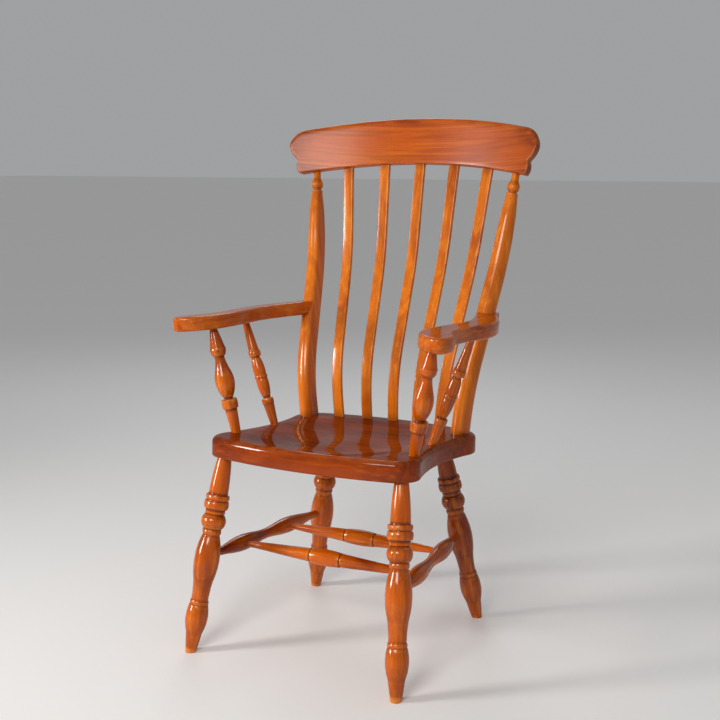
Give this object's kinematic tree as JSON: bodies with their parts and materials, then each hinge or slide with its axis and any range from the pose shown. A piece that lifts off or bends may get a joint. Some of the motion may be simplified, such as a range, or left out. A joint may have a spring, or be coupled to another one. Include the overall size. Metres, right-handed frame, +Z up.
{
  "type": "chair",
  "caption": "Wooden armchair with a bent lath back, bowed crest rail, paddle arms, turned legs and turned stretchers.",
  "frame": {"origin": "floor level, under the middle of the chair's plan box", "axes": "+X towards the sitter's left, +Y to the back, +Z up; the chair faces -Y"},
  "size_m": [0.6453, 0.6534, 1.1435],
  "materials": {
    "stained_beech": "gloss lacquer over red-brown stain",
    "stained_seat": "gloss lacquer over dark red-brown stain",
    "screw_steel": "plain steel screw"
  },
  "bodies": {
    "root": {"seat": "stained_seat", "crest_rail": "stained_beech", "lath_1": "stained_beech", "lath_2": "stained_beech", "lath_3": "stained_beech", "lath_4": "stained_beech", "lath_5": "stained_beech", "back_post_left": "stained_beech", "back_post_right": "stained_beech", "arm_left": "stained_beech", "arm_right": "stained_beech", "front_arm_support_left": "stained_beech", "front_arm_support_right": "stained_beech", "rear_arm_support_left": "stained_beech", "rear_arm_support_right": "stained_beech", "front_leg_left": "stained_beech", "front_leg_right": "stained_beech", "rear_leg_left": "stained_beech", "rear_leg_right": "stained_beech", "side_stretcher_left": "stained_beech", "side_stretcher_right": "stained_beech", "cross_stretcher_front": "stained_beech", "cross_stretcher_rear": "stained_beech", "arm_screw_left": "screw_steel", "arm_screw_right": "screw_steel", "arm_screw_plug_left": "stained_beech", "arm_screw_plug_right": "stained_beech"}
  },
  "joints": []
}
